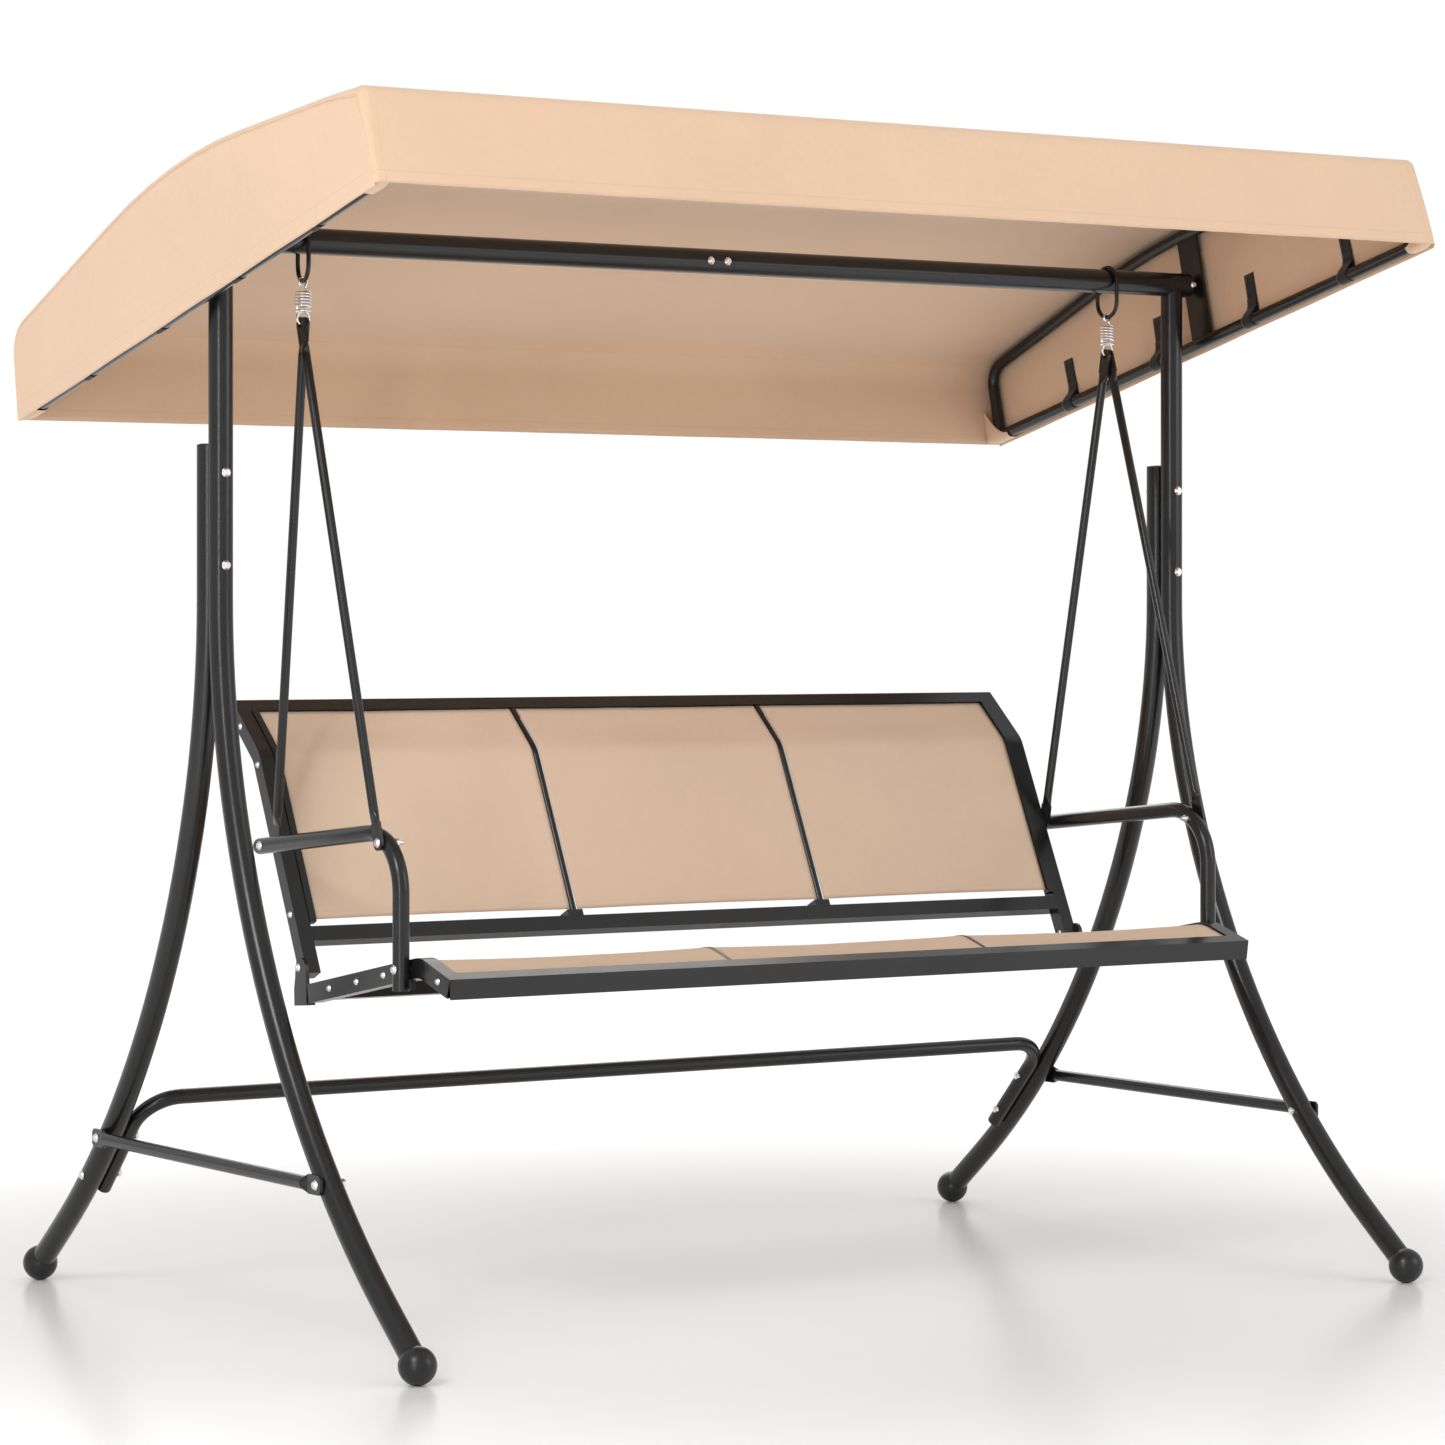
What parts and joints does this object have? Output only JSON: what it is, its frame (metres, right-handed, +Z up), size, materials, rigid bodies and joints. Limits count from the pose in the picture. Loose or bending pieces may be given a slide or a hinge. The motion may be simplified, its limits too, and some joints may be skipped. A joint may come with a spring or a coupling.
{
  "type": "glider swing",
  "caption": "Free-standing garden swing seat: sling bench hung by rods and springs from a tube frame with curved legs, under a tilting fabric canopy.",
  "frame": {"origin": "centre of the footprint on the floor", "axes": "+Z up, seat faces -Y, long axis along X"},
  "size_m": [1.9278, 1.2778, 1.7909],
  "materials": {
    "frame_paint": "black powder coat, semi-gloss",
    "black_plastic": "moulded black plastic",
    "canopy_cloth": "plain woven beige polyester",
    "sling_cloth": "open weave beige sling mesh",
    "webbing": "woven black tape",
    "zinc_steel": "bright zinc plated",
    "spring_steel": "zinc plated spring wire"
  },
  "bodies": {
    "frame": {"crossbar_left": "frame_paint", "crossbar_right": "frame_paint", "upper_post_left": "frame_paint", "upper_post_right": "frame_paint", "front_leg_left": "frame_paint", "front_leg_right": "frame_paint", "rear_leg_left": "frame_paint", "rear_leg_right": "frame_paint", "rear_leg_caps": "black_plastic", "ball_feet": "black_plastic", "side_stretchers": "frame_paint", "rear_stretcher": "frame_paint", "pivot_plugs": "black_plastic", "pivot_nuts": "zinc_steel", "pivot_screws": "zinc_steel", "frame_bolts": "zinc_steel", "stretcher_bolts": "zinc_steel"},
    "canopy": {"canopy_cover": "canopy_cloth", "canopy_end_panel_left": "canopy_cloth", "canopy_end_panel_right": "canopy_cloth", "canopy_arch_tube_left": "frame_paint", "canopy_arch_tube_right": "frame_paint", "canopy_bottom_tube_left": "frame_paint", "canopy_bottom_tube_right": "frame_paint", "canopy_centre_bar_left": "frame_paint", "canopy_centre_bar_right": "frame_paint", "canopy_straps": "webbing", "canopy_corner_pockets": "webbing"},
    "suspension": {"hanger_rings": "spring_steel", "springs": "spring_steel"},
    "hooks": {"spring_hooks": "spring_steel"},
    "seat": {"hanger_front_left": "frame_paint", "hanger_front_right": "frame_paint", "hanger_rear_left": "frame_paint", "hanger_rear_right": "frame_paint", "hanger_spacers": "zinc_steel", "armrest_left": "frame_paint", "armrest_right": "frame_paint", "back_side_tube_left": "frame_paint", "back_side_tube_right": "frame_paint", "back_top_rail": "frame_paint", "back_lower_rail": "frame_paint", "back_divider_left": "frame_paint", "back_divider_right": "frame_paint", "back_sling_rails": "frame_paint", "back_sling_left": "sling_cloth", "back_sling_middle": "sling_cloth", "back_sling_right": "sling_cloth", "seat_front_rail": "frame_paint", "seat_side_rail_left": "frame_paint", "seat_side_rail_right": "frame_paint", "seat_rear_rail": "frame_paint", "seat_dividers": "frame_paint", "seat_sling_left": "sling_cloth", "seat_sling_middle": "sling_cloth", "seat_sling_right": "sling_cloth", "rear_brackets": "frame_paint", "seat_bolts": "zinc_steel", "sling_screws": "zinc_steel"}
  },
  "joints": [
    {"name": "seat_swing", "type": "hinge", "parent": "frame", "child": "suspension", "pos_m": [0, -0.0191, 1.6214], "axis": [1, 0, 0], "range_deg": [-15, 15]},
    {"name": "seat_bounce", "type": "slide", "parent": "suspension", "child": "hooks", "axis": [0, 0, 1], "range_m": [-0.02, 0], "stiffness_N_per_m": 70000, "springref_m": 0.0035, "deforming": ["springs"]},
    {"name": "hanger_pivot", "type": "hinge", "parent": "hooks", "child": "seat", "pos_m": [0, -0.0191, 1.4962], "axis": [1, 0, 0], "range_deg": [-6, 6]},
    {"name": "canopy_tilt", "type": "hinge", "parent": "frame", "child": "canopy", "pos_m": [0, -0.0191, 1.6214], "axis": [1, 0, 0], "range_deg": [-30, 40]}
  ]
}
